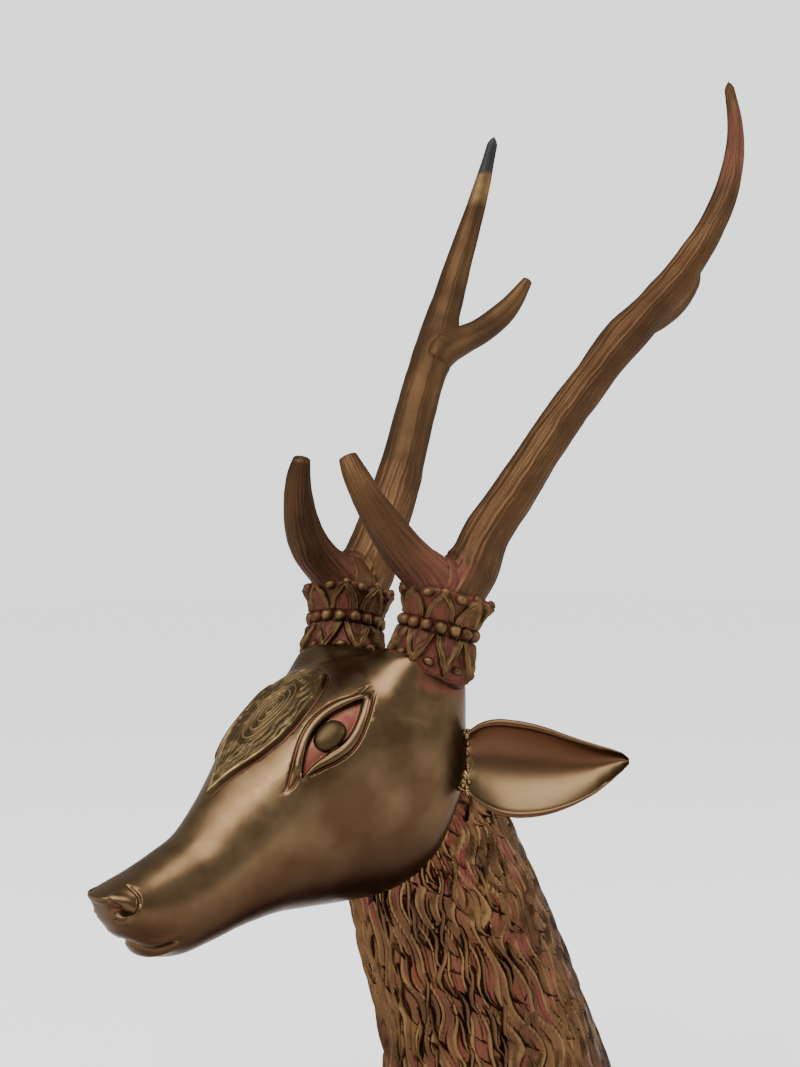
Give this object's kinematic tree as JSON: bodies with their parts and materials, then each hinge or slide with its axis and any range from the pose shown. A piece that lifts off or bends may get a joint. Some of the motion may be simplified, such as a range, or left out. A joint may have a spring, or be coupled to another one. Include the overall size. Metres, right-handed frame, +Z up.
{
  "type": "deer bust sculpture",
  "caption": "Life-size cast bronze bust of an antlered deer, smooth head with a forehead leaf on a neck of carved wavy locks, antlers in petalled collars, standing on its flat-cut neck",
  "frame": {"origin": "middle of the flat-cut underside of the neck", "axes": "+Z up; the deer faces -Y; +X is the deer's left side"},
  "size_m": [0.2588, 0.4287, 0.7294],
  "materials": {
    "polished_bronze": "brown bronze polished by hand, red undercoat left in the hollows of the carving",
    "patinated_bronze": "brown to ochre patina with gold wear on the ridges and dull red in the hollows",
    "rubbed_bronze": "smooth bronze rubbed bright, brassy at the root where it is brazed on"
  },
  "bodies": {
    "root": {"head_and_neck": "polished_bronze", "left_antler": "patinated_bronze", "right_antler": "patinated_bronze", "left_ear": "rubbed_bronze", "right_ear": "rubbed_bronze"}
  },
  "joints": []
}
